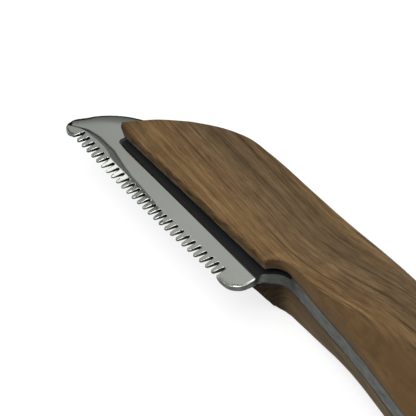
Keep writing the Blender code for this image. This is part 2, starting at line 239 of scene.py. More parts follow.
def object_place(tree, size, turn=(0, 0, 0), start=Vector()):
    """Object coordinates from the first gullet or a start, turned, and counted in steps of the size."""
    coordinates = tree.nodes.new("ShaderNodeTexCoord")
    mapping = tree.nodes.new("ShaderNodeMapping")
    mapping.vector_type = "TEXTURE"
    mapping.inputs["Location"].default_value = first_gullet + start
    mapping.inputs["Rotation"].default_value = turn
    mapping.inputs["Scale"].default_value = size
    tree.links.new(coordinates.outputs["Object"], mapping.inputs["Vector"])
    return mapping.outputs["Vector"]


def axes_of(tree, vector):
    """The X, Y and Z of a vector, each an output of its own."""
    node = tree.nodes.new("ShaderNodeSeparateXYZ")
    tree.links.new(vector, node.inputs["Vector"])
    return node.outputs


def length_of(tree, vector):
    node = tree.nodes.new("ShaderNodeVectorMath")
    node.operation = "LENGTH"
    tree.links.new(vector, node.inputs[0])
    return node.outputs["Value"]


def calculated(tree, operation, *values):
    """One step of arithmetic. Each value is a number or the output of another node."""
    node = tree.nodes.new("ShaderNodeMath")
    node.operation = operation
    for socket, value in zip(node.inputs, values):
        if isinstance(value, float):
            socket.default_value = value
        else:
            tree.links.new(value, socket)
    return node.outputs["Value"]


def noise(tree, vector, detail=3.0, roughness=0.5):
    texture = tree.nodes.new("ShaderNodeTexNoise")
    texture.inputs["Scale"].default_value = 1.0
    texture.inputs["Detail"].default_value = detail
    texture.inputs["Roughness"].default_value = roughness
    tree.links.new(vector, texture.inputs["Vector"])
    return texture.outputs["Fac"]


def ramp(tree, factor, stops):
    """A colour ramp: each stop is a place and a grey level or a colour."""
    node = tree.nodes.new("ShaderNodeValToRGB")
    elements = node.color_ramp.elements
    while len(elements) < len(stops):
        elements.new(0.5)
    for element, (place, colour) in zip(elements, stops):
        element.position = place
        element.color = (*colour, 1) if isinstance(colour, tuple) else (colour, colour, colour, 1)
    tree.links.new(factor, node.inputs["Fac"])
    return node.outputs["Color"]


def mixed(tree, kind, factor, first, second):
    """Two colours mixed. Each of the three values is plain or the output of another node."""
    node = tree.nodes.new("ShaderNodeMix")
    node.data_type = "RGBA"
    node.blend_type = kind
    sockets = [socket for socket in node.inputs if socket.enabled]
    for socket, value in zip(sockets, (factor, first, second)):
        if isinstance(value, float):
            socket.default_value = value
        elif isinstance(value, tuple):
            socket.default_value = (*value, 1)
        else:
            tree.links.new(value, socket)
    return next(output for output in node.outputs if output.enabled)


def shaded(tree, colour, shade, share=1.0):
    """The colour multiplied by a shade, or by a share of it."""
    return mixed(tree, "MULTIPLY", share, colour, shade)


def bump(tree, shader, height, strength, distance):
    node = tree.nodes.new("ShaderNodeBump")
    node.inputs["Strength"].default_value = strength
    node.inputs["Distance"].default_value = distance
    tree.links.new(height, node.inputs["Height"])
    tree.links.new(node.outputs["Normal"], shader.inputs["Normal"])


def along_knife(tree, stops):
    """Grey levels by place along the knife, in metres from the first gullet."""
    axes = axes_of(tree, object_place(tree, (tang_end, 1, 1)))
    return ramp(tree, axes["X"], [(x / tang_end, level) for x, level in stops])


def beside_line(tree, line, reach):
    """0.5 on a line of plan places, and more towards the spine: 1.0 is half the reach away."""
    start = Vector((line[0][0], min(y for x, y in line), 0))
    length = line[-1][0] - start.x
    axes = axes_of(tree, object_place(tree, (length, reach, 1), start=start))
    levels = [((x - start.x) / length, (y - start.y) / reach) for x, y in line]
    beside = calculated(tree, "SUBTRACT", axes["Y"], ramp(tree, axes["X"], levels))
    return calculated(tree, "ADD", beside, 0.5)


def polished_steel():
    """Bright and faintly brushed, with a painted shadow under the wing, painted shade along the crease and a
    small stain.
    """
    material, tree, shader = new_material("polished_steel")
    # The dark corner is a painted shadow under the wing: the steel there is dark and not metal.
    corner = tree.nodes.new("ShaderNodeVectorMath")
    corner.operation = "MINIMUM"
    steps = (painted_shadow_corner_round, painted_shadow_corner_round, 1)
    tree.links.new(object_place(tree, steps, painted_shadow_corner_turn, painted_shadow_corner), corner.inputs[0])
    clear = length_of(tree, corner.outputs["Vector"])
    colour = ramp(tree, noise(tree, object_place(tree, cloud_size), detail=2), cloud_tones)
    colour = mixed(tree, "MIX", ramp(tree, clear, painted_shadow_corner_tones), painted_shadow_corner_colour, colour)
    # Painted shade beside the crease, where the land's small step shades the face.
    crease = ramp(tree, beside_line(tree, crease_places, crease_reach), painted_crease_shade_tones)
    colour = shaded(tree, colour, crease, along_knife(tree, painted_crease_shade_strengths))
    stain = object_place(tree, (nose_stain_size, nose_stain_size, 1), start=nose_stain)
    colour = shaded(tree, colour, ramp(tree, length_of(tree, stain), nose_stain_tones))
    tree.links.new(colour, shader.inputs["Base Color"])
    tree.links.new(ramp(tree, clear, painted_shadow_corner_metal), shader.inputs["Metallic"])
    brushing = noise(tree, object_place(tree, brushing_size), detail=3)
    tree.links.new(ramp(tree, brushing, brushing_roughness), shader.inputs["Roughness"])
    bump(tree, shader, brushing, brushing_strength, brushing_depth)
    return material


def ground_steel():
    """The stamped edge of the plate: rough, grey and a little stained. Painted shade darkens it down in the
    gullets and painted light brightens the tips of the teeth; along the knife a painted highlight brightens
    the heel's edge and painted shade darkens the choil and the tang behind it.
    """
    material, tree, shader = new_material("ground_steel")
    shader.inputs["Metallic"].default_value = 1.0
    mottle = noise(tree, object_place(tree, mottle_size), detail=5, roughness=0.6)
    axes = axes_of(tree, object_place(tree, (toothed_length, tooth_reach * 2, tang_thickness)))
    # Painted shade down in the gullets and painted light at the tips of the teeth.
    gullet_shade = ramp(tree, calculated(tree, "ADD", axes["Y"], 0.5), gullet_shade_levels)
    shade = mixed(tree, "MIX", ramp(tree, axes["X"], tooth_row_end), gullet_shade, (1.0, 1.0, 1.0))
    colour = shaded(tree, ramp(tree, mottle, mottle_tones), shade)
    # Painted highlight at the heel and painted shade at the choil, along the knife.
    colour = shaded(tree, colour, along_knife(tree, wall_highlight_and_shade))
    tree.links.new(colour, shader.inputs["Base Color"])
    tree.links.new(ramp(tree, mottle, mottle_roughness), shader.inputs["Roughness"])
    bump(tree, shader, mottle, mottle_strength, mottle_depth)
    return material


def cut_lines(bm, axis, start, end, spacing, wanted):
    """Cuts the wanted faces along even lines square to an axis, so that they can be curved."""
    faces = [face for face in bm.faces if wanted(face)]
    edges = dict.fromkeys(edge for face in faces for edge in face.edges)
    verts = dict.fromkeys(vert for face in faces for vert in face.verts)
    geom = [*faces, *edges, *verts]
    for k in range(1, math.ceil((end - start) / spacing)):
        place = Vector()
        place[axis] = start + k * spacing
        normal = Vector()
        normal[axis] = 1
        cut = bmesh.ops.bisect_plane(
            bm, geom=geom, plane_co=place, plane_no=normal, dist=weld_distance
        )
        geom = cut["geom"]


def rim_distance(place, rim):
    """How far a place is from a stretch of the outline, seen from above."""
    return rim.find((place.x, place.y, 0))[2]


def rim_tree(places):
    """The places of a rim, stored so that the nearest one is quickly found."""
    tree = KDTree(len(places))
    for k, place in enumerate(places):
        tree.insert((place.x, place.y, 0), k)
    tree.balance()
    return tree


def line_height(line, x):
    """Height of a line of plan places at x."""
    for (x0, y0), (x1, y1) in zip(line, line[1:]):
        if x0 < x1 and x <= x1:
            return y0 + (y1 - y0) * max(x - x0, 0) / (x1 - x0)
    return line[-1][1]


def slopes(angles):
    """Places with an angle in degrees, as places with a slope."""
    return [(x, math.tan(math.radians(angle))) for x, angle in angles]


def land_depth(x, y):
    """How far the land is ground down: a dull stripe under the crease, then steeper over the later teeth."""
    crease = line_height(crease_places, x)
    land = line_height(land_places, x)
    stripe = min(max(crease - y, 0), crease - land)
    fall = stripe * line_height(slopes(stripe_angles), x)
    return fall + max(land - y, 0) * line_height(slopes(tooth_angles), x)


# The land's shallow step is levelled first, because the land is ground again below in finer slopes.
plate_bm = welded_copy("blade_and_tang")
rim_places = outline_points(plate_bm)
for vert in plate_bm.verts:
    if face_height - step_reach < vert.co.z < face_height:
        vert.co.z = face_height
bmesh.ops.remove_doubles(plate_bm, verts=plate_bm.verts, dist=weld_distance)
bmesh.ops.dissolve_degenerate(plate_bm, dist=weld_distance, edges=plate_bm.edges)
bmesh.ops.dissolve_limit(plate_bm, angle_limit=flat_angle, verts=plate_bm.verts, edges=plate_bm.edges)
whole_rim = rim_tree(rim_places)
rims = [edge for edge in plate_bm.edges if edge.calc_face_angle(0) > rim_angle]


def on_outline(edge):
    return min(rim_distance(vert.co, whole_rim) for vert in edge.verts) < rim_break


outer_rims = [edge for edge in rims if on_outline(edge)]
blade_rim = []
for edge in outer_rims:
    a, b = (vert.co for vert in edge.verts)
    if min(a.z, b.z) > face_height - weld_distance and max(a.x, b.x) < relief_end:
        count = math.ceil((b - a).length / rim_break)
        blade_rim += [a.lerp(b, k / count) for k in range(count + 1)]
bmesh.ops.bevel(
    plate_bm,
    geom=outer_rims,
    offset=rim_break,
    offset_type="OFFSET",
    affect="EDGES",
    segments=2,
    profile=0.5,
    material=-1,
    clamp_overlap=True,
)
plate_bm.normal_update()
blade_top = max(p.y for p in rim_places)


def blade_face(face):
    middle = face.calc_center_median()
    return abs(middle.z - face_height) < weld_distance and face.normal.z > wall_tilt


def heel_face(face):
    middle = face.calc_center_median()
    return blade_face(face) and middle.x > heel_edge_start - heel_roll_width and middle.y < choil_foot


cut_lines(plate_bm, 0, -nose_length, relief_end, face_cell, blade_face)
cut_lines(plate_bm, 1, -tooth_reach, blade_top, face_cell, blade_face)
cut_lines(plate_bm, 0, heel_edge_start - heel_roll_width, relief_end, heel_cell, heel_face)
cut_lines(plate_bm, 1, -tooth_reach, choil_foot, heel_cell, heel_face)

# Polishing has rolled the face over towards the spine and round nose and heel, and the land is ground
# down. From behind, the hollow leaves the roots of the teeth a little thicker than the solid does.
spine_rim = rim_tree([p for p in blade_rim if p.y > spine_foot and p.x < heel_end - choil_foot])
nose_rim = rim_tree([p for p in blade_rim if p.x < nose_edge_end and p.y > nose_foot])
nose_low_rim = rim_tree([p for p in blade_rim if p.x < nose_roll_end and p.y < nose_foot])
heel_places = [p for p in blade_rim if p.x > toothed_length and p.y < choil_foot]
heel_rim = rim_tree([p for p in heel_places if p.y < nose_foot or p.x > heel_edge_start])
heel_edge = rim_tree([p for p in heel_places if p.x > heel_edge_start])
rolls = (
    (spine_rim, spine_roll_width, spine_roll_depth),
    (spine_rim, spine_edge_width, spine_edge_depth),
    (nose_rim, nose_edge_width, nose_edge_depth),
    (nose_low_rim, nose_roll_width, nose_roll_depth),
    (heel_rim, heel_roll_width, heel_roll_depth),
    (heel_edge, heel_edge_width, heel_edge_depth),
)
for vert in plate_bm.verts:
    if abs(vert.co.z - face_height) < rim_break * 2 and vert.co.x < relief_end:
        drop = land_depth(vert.co.x, vert.co.y)
        for rim, width, depth in rolls:
            drop += depth * max(1 - rim_distance(vert.co, rim) / width, 0) ** 2
        vert.co.z -= drop
    elif vert.co.z < face_height - step_reach and vert.co.x < heel_end and vert.co.y < hollow_top:
        share = min(1 + vert.co.y / tooth_reach, 1 - vert.co.y / hollow_top)
        heel_share = min((heel_end - vert.co.x) / (heel_end - toothed_length), 1)
        vert.co.z -= tooth_gain * max(share, 0) * heel_share
plate_bm.normal_update()
plate = finished_piece("blade_steel", plate_bm, polished_steel(), "blade_and_tang")
plate.data.materials.append(ground_steel())
for face in plate.data.polygons:
    face.material_index = 1 if abs(face.normal.z) < wall_tilt else 0
plate.data.shade_smooth()
plate.data.set_sharp_from_angle(angle=crease_angle)
weighted = plate.modifiers.new("clean_faces", "WEIGHTED_NORMAL")
weighted.keep_sharp = True
weighted.weight = 100

# The front scale is one piece of oiled walnut. It is thin over the blade, where it runs out as a wing for
# the thumb, and swells into the grip; it is glued and pinned to the tang, and its edges are sanded over.
wing_tip_place = 0.0043
wing_edge = 0.0050
wing_end_run = 0.0089
toe_undercut = 0.0017
toe_run = 0.0035
wing_tip_top = 0.00215
wing_heel_top = 0.00275
wing_arris = 0.00018
wing_tip_round = 0.0009
wing_tip_arris = 0.0005
wing_tip_run = 0.0030
wing_end_shares = [(0.0, 0.0), (0.06, 0.115), (0.30, 0.40), (0.47, 0.59), (0.64, 0.735), (1.0, 1.0)]

# The grip
front_height = 0.0085
front_side_run = 0.0060
front_side_start = 0.0090
front_side_length = 0.0340
swell_start = 0.0030
swell_length = 0.0410
choil_setback = 0.0004
side_wall = 0.0012
spine_side_run = 0.0085
butt_rounding = 0.0085
butt_wall = 0.0016
butt_trim = 0.00004
ridge_round = 0.0030
widest_side_share = 0.45
choil_back = 0.00042
choil_start = heel_end - choil_back
choil_rise = 0.0080
choil_station_shares = [-0.2, 0.1, 0.3, 0.6, 1.4, 2.3, 3.3]
tip_round_share = 0.4

# Its underside, from the gap over the blade to the glue on the tang, and how far its spine side stands in
glue_line = 0.00004
floor_break = 0.00008
wing_floor = [
    (0.0047, 0.00345),
    (0.0120, 0.00366),
    (0.0270, 0.00390),
    (0.0400, 0.00385),
    (0.0480, 0.00388),
    (0.0560, 0.00412),
    (0.0574, tang_thickness + glue_line),
]
spine_insets = [
    (0.0100, 0.0),
    (0.0155, -0.00025),
    (0.0200, -0.00020),
    (0.0245, 0.0),
    (0.0290, 0.00030),
    (0.0340, 0.00042),
    (0.0900, 0.00042),
    (0.1100, 0.0),
]
ring_spacing = 0.0006
corner_steps = 8

# The wood, its figure, and how far from the steel its painted shade and dark seam reach
grain_turn = (math.radians(-42), 0, math.radians(-5))
wing_painted_shade = 0.0021
grip_seam_and_shade = 0.00055
seam_change = 0.0060
board_width = 0.0200
wing_edge_places = [(0.0, wing_edge), (0.0530, wing_edge)]
chip_reach = 0.0040
front_shades = [(0.0060, 0.70), (0.0075, 0.80), (0.0092, 1.0)]
front_figure = [(0.74, 0.30), (0.92, 1.0)]
front_roughness = 0.55
# Painted highlight along the ridge between the grip's top and its side
ridge_highlight_tones = [(0.49, 1.0), (0.50, 1.14), (0.59, 1.14), (0.61, 1.0)]
board_tones = [
    (0.00, (0.150, 0.090, 0.041)),
    (0.24, (0.160, 0.096, 0.042)),
    (0.42, (0.122, 0.077, 0.038)),
    (0.60, (0.106, 0.070, 0.036)),
    (0.78, (0.135, 0.085, 0.040)),
]
growth_size = (0.030, 0.001, 0.004)
growth_spacing = 2.3
growth_wander = 2.6
growth_detail = 3.0
growth_roughness = 0.55
growth_tones = [(0.0, 0.62), (0.05, 0.55), (0.16, 1.05), (1.0, 0.92)]
one_band_scale = math.pi / 10
fading_size = (0.045, 0.0036, 0.006)
fading_start = Vector((0.05, 0.01, 0))
fading_tones = [(0.38, 0.30), (0.56, 1.0)]
tone_size = (0.050, 0.0040, 0.006)
broad_tones = [(0.38, 0.86), (0.62, 1.14)]
streak_size = (0.022, 0.0007, 0.006)
streak_tones = [(0.30, 0.57), (0.50, 1.0), (0.70, 1.38)]
fibre_size = (0.005, 0.00022, 0.0015)
fibre_tones = [(0.30, 0.70), (0.50, 1.0), (0.70, 1.24)]
fibre_dullness = 0.08
pore_size = (0.0030, 0.00020, 0.0006)
pore_tones = [(0.30, 0.70), (0.38, 1.0)]
curl_size = (0.0035, 0.0030, 0.0030)
curl_tones = [(0.35, 0.93), (0.65, 1.07)]
# Painted shade on faces that lean towards the toothed side
side_shade_tones = [(0.22, 1.0), (0.38, 0.72), (0.80, 0.72), (0.97, 1.04)]
chip_size = (0.0030, 0.0012, 0.0010)
chip_tones = [(0.42, 0.55), (0.50, 1.0)]
chip_band = [(0.54, 1.0), (0.60, 0.0)]
chip_stretch = [(0.052, 1.0), (0.054, 0.0)]
# Painted shade up the wing's wall, bluish where painted light from the blade falls on it
wing_painted_shade_tones = [
    (0.00, (0.55, 0.75, 1.20)),
    (0.15, (0.80, 1.08, 1.70)),
    (0.40, (0.86, 0.98, 1.40)),
    (0.65, (0.80, 0.82, 1.00)),
    (0.95, (0.76, 0.71, 0.66)),
    (1.00, 1.0),
]
# A dark glue seam along the grip, with painted shade beside the steel
grip_seam_and_shade_tones = [(0.0, 0.40), (0.65, 0.48), (1.0, 1.0)]
grip_seam_and_shade_start = [(0.054, 0.0), (0.060, 1.0)]
oil_ior = 1.15
fibre_strength = 0.3
fibre_depth = 0.00008
ridge_places = [
    (0.0500, 0.0000),
    (0.0535, 0.0080),
    (0.0591, 0.0083),
    (0.0706, 0.0084),
    (0.0811, 0.0089),
    (0.0878, 0.0103),
    (0.0960, 0.0112),
    (0.1502, 0.0112),
]


def line_slope(line, x):
    return (line_height(line, x + ring_spacing / 2) - line_height(line, x - ring_spacing / 2)) / ring_spacing


def blend(low, high, share):
    return low + (high - low) * share


def run_share(x, start, length):
    return min(max((x - start) / length, 0), 1)


def eased_share(x, start, length):
    share = run_share(x, start, length)
    return share * share * (3 - 2 * share)


def round_share(x, length):
    """Rises from 0 to 1 over the length as a quarter of a circle does."""
    return math.sqrt(1 - (1 - run_share(x, 0, length)) ** 2)


def flowing_line(points, steps):
    """A smooth line through the points, as a list of plan places."""
    knots = [Vector((x, y, 0)) for x, y in points]
    slopes = [(b - a).normalized() for a, b in zip(knots, knots[1:])]
    tangents = [slopes[0]] + [(a + b).normalized() for a, b in zip(slopes, slopes[1:])] + [slopes[-1]]
    line = []
    for i, (a, b) in enumerate(zip(knots, knots[1:])):
        reach = (b - a).length / 3
        handles = (a, a + tangents[i] * reach, b - tangents[i + 1] * reach, b)
        line.extend(interpolate_bezier(*handles, steps + 1)[:-1])
    line.append(knots[-1])
    return [(p.x, p.y) for p in line]


def eased_corners(corners, cuts, steps):
    """A polyline whose corners are eased by quarter ellipses, each with a cut before and one after."""
    line = [corners[0]]
    for before, corner, after, (cut_before, cut_after) in zip(corners, corners[1:], corners[2:], cuts):
        middle = Vector(corner)
        start = (Vector(before) - middle).normalized() * cut_before
        end = (Vector(after) - middle).normalized() * cut_after
        for k in range(steps + 1):
            angle = math.pi / 2 * k / steps
            p = middle + start * (1 - math.sin(angle)) + end * (1 - math.cos(angle))
            line.append((p.x, p.y))
    line.append(corners[-1])
    return line


def section_places(front, back, floor, profile, face_sign):
    """A scale's cross-section from its front edge to its back edge, as places in the knife."""
    width = math.dist(front, back)
    places = []
    for across, up in profile:
        share = across / width
        x = blend(front[0], back[0], share)
        y = blend(front[1], back[1], share)
        places.append((x, y, floor + up * face_sign))
    return places


def loft(sections):
    """A closed skin over cross-sections: each ring is bridged to the next and both ends are capped."""
    bm = bmesh.new()
    rings = []
    for places in sections:
        verts = [bm.verts.new(place) for place in places]
        rings.append([bm.edges.new((verts[i - 1], verts[i])) for i in range(len(verts))])
    for ring, following in zip(rings, rings[1:]):
        bmesh.ops.bridge_loops(bm, edges=ring + following)
    for ring in (rings[0], rings[-1]):
        bmesh.ops.contextual_create(bm, geom=ring)
    bmesh.ops.remove_doubles(bm, verts=bm.verts, dist=weld_distance)
    bmesh.ops.recalc_face_normals(bm, faces=bm.faces)
    if bm.calc_volume(signed=True) < 0:
        bmesh.ops.reverse_faces(bm, faces=bm.faces)
    return bm


def ring_stations(start, end, fine_run):
    """Places of the cross-sections, close together at both ends."""
    fine = [fine_run * (1 - math.cos(math.pi / 2 * k / corner_steps)) for k in range(corner_steps)]
    count = round((end - start - 2 * fine_run) / ring_spacing)
    even = [start + fine_run + (end - start - 2 * fine_run) * k / count for k in range(count + 1)]
    return [start + f for f in fine] + even + [end - f for f in reversed(fine)]


butt = max(rim_places, key=lambda p: p.x)
choil_places = [p for p in rim_places if p.x > toothed_length and choil_foot < p.y < choil_rise]
choil = min(choil_places, key=lambda p: p.x)
spine_line = sorted(tuple(p) for p in rim_places if p.y >= butt.y)
grip_rim = [p for p in rim_places if p.x >= choil.x and p.y <= butt.y]
grip_line = sorted(tuple(p) for p in grip_rim if p.y >= choil.y or p.x > relief_end)


def front_scale_sections():
    """Cross-sections from the tip of the wing to the butt."""
    wing_end = wing_tip_place + wing_end_run
    spine_rise = line_height(spine_line, wing_end) - wing_edge
    tip_points = [(wing_tip_place + wing_end_run * a, wing_edge + spine_rise * b) for a, b in wing_end_shares]
    tip_line = flowing_line(tip_points, corner_steps)
    sections = []
    tip_start = wing_tip_place + wing_tip_round * tip_round_share
    places = ring_stations(tip_start, butt.x - butt_trim, wing_tip_round)
    places += [choil.x + choil_setback + ring_spacing * share for share in choil_station_shares]
    for x in sorted(places):
        far_line = tip_line if x < wing_end else spine_line
        back_y = line_height(far_line, x) - line_height(spine_insets, x)
        steepness = line_slope(far_line, x)
        near_tip = round_share(x - tip_start, wing_tip_round)
        arris = blend(wing_tip_arris, wing_arris, run_share(x, tip_start, wing_tip_run))
        front_y = wing_edge + wing_tip_round * (1 - near_tip)
        if x > choil.x + choil_setback:
            front_y = line_height(grip_line, x + choil_setback)
        width = max(back_y - front_y, floor_break * 3)
        swell = eased_share(x, heel_end - swell_start, swell_length)
        side = eased_share(x, heel_end + front_side_start, front_side_length)
        wing_top = blend(wing_tip_top, wing_heel_top, run_share(x, wing_tip_place, heel_end - wing_tip_place))
        top = tang_thickness + blend(wing_top, front_height, swell)
        floor = line_height(wing_floor, x)
        height = blend(butt_wall, top - floor, round_share(butt.x - x, butt_rounding))
        height -= arris * (1 - round_share(x - tip_start, arris))
        front_run = min(blend(arris, front_side_run, side), width * widest_side_share)
        wall = min(blend(height - arris, side_wall, side), height - arris)
        side_length = math.hypot(front_run, height - wall)
        ridge = min(blend(arris, ridge_round, side), side_length / 2)
        back_run = blend(arris, spine_side_run, swell) * math.hypot(1, steepness)
        back_run = min(back_run, width * widest_side_share)
        back_fall = blend(arris, height - side_wall, swell)
        corners = [(width / 2, 0), (0, 0), (0, wall), (front_run, height), (width, height), (width, 0)]
        corners.append(corners[0])
        ease = min(wall, side_length, ridge) / 2
        foot = (floor_break, floor_break)
        cuts = [foot, (ease, ease), (ridge, ridge), (back_run, back_fall), foot]
        profile = eased_corners(corners, cuts, corner_steps)[:-1]
        places = section_places((x, front_y), (x, front_y + width), floor, profile, 1)
        undercut = toe_undercut * (1 - eased_share(x, tip_start, toe_run))
        sections.append([(px + undercut * (1 - (pz - floor) / height), py, pz) for px, py, pz in places])
    return sections


def growth_lines(tree):
    """Bands square to the board: each starts at a thin dark line and darkens slowly towards the next.

    At one_band_scale a wave pattern has one band to each step of its size.
    """
    wave = tree.nodes.new("ShaderNodeTexWave")
    wave.wave_type = "BANDS"
    wave.bands_direction = "Y"
    wave.wave_profile = "SAW"
    wave.inputs["Scale"].default_value = one_band_scale / growth_spacing
    wave.inputs["Distortion"].default_value = growth_wander
    wave.inputs["Detail"].default_value = growth_detail
    wave.inputs["Detail Scale"].default_value = 1.0
    wave.inputs["Detail Roughness"].default_value = growth_roughness
    tree.links.new(object_place(tree, growth_size, grain_turn), wave.inputs["Vector"])
    return ramp(tree, wave.outputs["Fac"], growth_tones)


def grain(tree, size, detail, roughness=0.5, start=Vector()):
    """A noise that is drawn out along the grain."""
    return noise(tree, object_place(tree, size, grain_turn, start), detail, roughness)


def clear_of_tang(tree):
    """0 where the wood meets the steel and 1 clear of it. The reach is deep under the wing."""
    axes = axes_of(tree, object_place(tree, (1, 1, 1)))
    reach = tree.nodes.new("ShaderNodeMapRange")
    reach.inputs["From Min"].default_value = choil_start
    reach.inputs["From Max"].default_value = choil_start + seam_change
    reach.inputs["To Min"].default_value = wing_painted_shade
    reach.inputs["To Max"].default_value = grip_seam_and_shade
    tree.links.new(axes["X"], reach.inputs["Value"])
    from_middle = calculated(tree, "SUBTRACT", axes["Z"], tang_thickness / 2)
    from_middle = calculated(tree, "ABSOLUTE", from_middle)
    from_steel = calculated(tree, "SUBTRACT", from_middle, tang_thickness / 2)
    return calculated(tree, "DIVIDE", from_steel, reach.outputs["Result"])


def seam_and_painted_shade(tree):
    """Painted shade on the wood beside the steel: under the wing with a painted bluish light from the blade,
    along the grip over a dark glue seam.
    """
    clear = clear_of_tang(tree)
    wing_shade = ramp(tree, clear, wing_painted_shade_tones)
    grip_shade = ramp(tree, clear, grip_seam_and_shade_tones)
    return mixed(tree, "MIX", along_knife(tree, grip_seam_and_shade_start), wing_shade, grip_shade)


def chipped_edge(tree):
    """1 on the wing's edge over the blade and 0 elsewhere."""
    at_edge = ramp(tree, beside_line(tree, wing_edge_places, chip_reach), chip_band)
    return shaded(tree, at_edge, along_knife(tree, chip_stretch))


def oiled_walnut(name, figure_strengths, shades, roughness):
    """Walnut with its grain along the handle: broad tones, growth lines, streaks and short dark pores.

    The figure is strongest on faces that look up, and the shades go along the knife. Sides leaning to the
    toothed side get painted shade, the ridge a painted highlight, and the wood beside the steel painted
    shade.
    """
    material, tree, shader = new_material(name)
    facing = axes_of(tree, tree.nodes.new("ShaderNodeTexCoord").outputs["Normal"])
    square_on = ramp(tree, facing["Z"], figure_strengths)
    board = axes_of(tree, object_place(tree, (board_width, board_width, board_width), grain_turn))
    fibres = grain(tree, fibre_size, detail=3, roughness=0.6)
    pores = grain(tree, pore_size, detail=2, roughness=0.4)
    figure = (
        (grain(tree, tone_size, detail=2), broad_tones),
        (grain(tree, streak_size, detail=5, roughness=0.66), streak_tones),
        (fibres, fibre_tones),
        (pores, pore_tones),
    )
    colour = ramp(tree, board["Y"], board_tones)
    for pattern, tones in figure:
        colour = shaded(tree, colour, ramp(tree, pattern, tones), square_on)
    lines = mixed(tree, "MIX", square_on, (1.0, 1.0, 1.0), growth_lines(tree))
    fading = ramp(tree, grain(tree, fading_size, detail=1, start=fading_start), fading_tones)
    colour = shaded(tree, colour, lines, fading)
    # Random curls of tone, painted shade on the sides and a painted highlight on the ridge.
    curls_and_painted_light = (
        (noise(tree, object_place(tree, curl_size), detail=2), curl_tones),
        (calculated(tree, "MULTIPLY", facing["Y"], -1.0), side_shade_tones),
        (beside_line(tree, ridge_places, board_width), ridge_highlight_tones),
    )
    for pattern, tones in curls_and_painted_light:
        colour = shaded(tree, colour, ramp(tree, pattern, tones))
    colour = shaded(tree, colour, along_knife(tree, shades))
    colour = shaded(tree, colour, seam_and_painted_shade(tree))
    chips = ramp(tree, noise(tree, object_place(tree, chip_size), detail=3), chip_tones)
    colour = shaded(tree, colour, chips, chipped_edge(tree))
    tree.links.new(colour, shader.inputs["Base Color"])
    dullness = [(0.3, roughness + fibre_dullness), (0.7, roughness)]
    tree.links.new(ramp(tree, fibres, dullness), shader.inputs["Roughness"])
    shader.inputs["IOR"].default_value = oil_ior
    bump(tree, shader, shaded(tree, fibres, pores), fibre_strength, fibre_depth)
    return material


front_scale = finished_piece(
    "front_scale_wood",
    loft(front_scale_sections()),
    oiled_walnut("walnut", front_figure, front_shades, front_roughness),
    "front_scale",
)
front_scale.data.shade_smooth()
front_scale.data.set_sharp_from_angle(angle=rim_angle)
weighted = front_scale.modifiers.new("clean_faces", "WEIGHTED_NORMAL")
weighted.keep_sharp = True

# The back scale is a shorter block of the same walnut, cut off in a steep rounded ramp behind the heel
# and rounded over along both sides; it is glued and pinned to the back of the tang.
back_height = 0.0080
back_choil_run = 0.0002
back_side_run = 0.0046
back_side_start = 0.0020
back_side_length = 0.0275
back_toe_length = 0.0016
back_ramp_length = 0.0056
back_ramp_lip = 0.0008
back_lip_round = back_ramp_lip / 4
# Painted shade on the back scale's toe under the heel, then lighter and greyer towards the butt
back_tones_and_toe_shade = [
    (0.0520, 0.55),
    (0.0545, 0.55),
    (0.0565, 1.15),
    (0.0630, 1.25),
    (0.0700, (1.33, 1.42, 1.48)),
    (0.0800, (1.38, 1.60, 1.78)),
    (0.0950, (1.42, 1.62, 1.90)),
]
back_figure = [(0.0, 0.8), (1.0, 1.0)]
back_roughness = 0.6
back_end_skew = 0.0060
back_end_blend = 0.0200
back_ramp_shares = [
    (0.0, 0.0),
    (0.12, 0.03),
    (0.24, 0.12),
    (0.34, 0.31),
    (0.45, 0.58),
    (0.62, 0.88),
    (1.0, 1.0),
]
back_toe_shares = [
    (0.0, 0.42),
    (0.15, 0.37),
    (0.45, 0.375),
    (0.90, 0.44),
    (1.30, 0.56),
    (1.65, 0.69),
    (2.0, 0.80),
]


def back_scale_sections():
    """Cross-sections from the toe behind the heel to the butt, skewed with the toe at first."""
    start = choil_start - back_toe_length
    full = back_height - glue_line
    ramp_line = flowing_line(back_ramp_shares, corner_steps)
    toe_points = [(start + back_toe_length * a, choil_rise * b) for a, b in back_toe_shares]
    toe_line = flowing_line(toe_points, corner_steps) + [p for p in grip_line if p[0] > toe_points[-1][0]]
    sections = []
    places = ring_stations(start, butt.x - butt_trim, wing_tip_round)
    places += [start + back_ramp_length * share for share, rise in ramp_line[1:]]
    for x in sorted(places):
        front_y = line_height(toe_line, x)
        back_x = x - back_end_skew * (1 - eased_share(x, start, back_end_blend))
        back_y = line_height(spine_line, back_x)
        rise = line_height(ramp_line, run_share(x, start, back_ramp_length))
        height = blend(back_ramp_lip, full, rise)
        height = blend(butt_wall, height, round_share(butt.x - x, butt_rounding))
        width = math.dist((x, front_y), (back_x, back_y))
        side = eased_share(x, heel_end + back_side_start, back_side_length)
        front_run = min(blend(back_choil_run, back_side_run, side) * rise + back_lip_round, width / 2)
        back_run = spine_side_run * rise + back_ramp_lip
        back_run = min(back_run * math.hypot(1, line_slope(spine_line, back_x)), width * widest_side_share)
        fall = height - min(side_wall, height / 2)
        corners = [(width / 2, 0), (0, 0), (0, height), (width, height), (width, 0), (width / 2, 0)]
        foot = (floor_break, floor_break)
        profile = eased_corners(corners, [foot, (fall, front_run), (back_run, fall), foot], corner_steps)[:-1]
        sections.append(section_places((x, front_y), (back_x, back_y), -glue_line, profile, -1))
    return sections


back_scale = finished_piece(
    "back_scale_wood",
    loft(back_scale_sections()),
    oiled_walnut("shaded_walnut", back_figure, back_tones_and_toe_shade, back_roughness),
    "back_scale",
)
back_scale.data.shade_smooth()
back_scale.data.set_sharp_from_angle(angle=rim_angle)

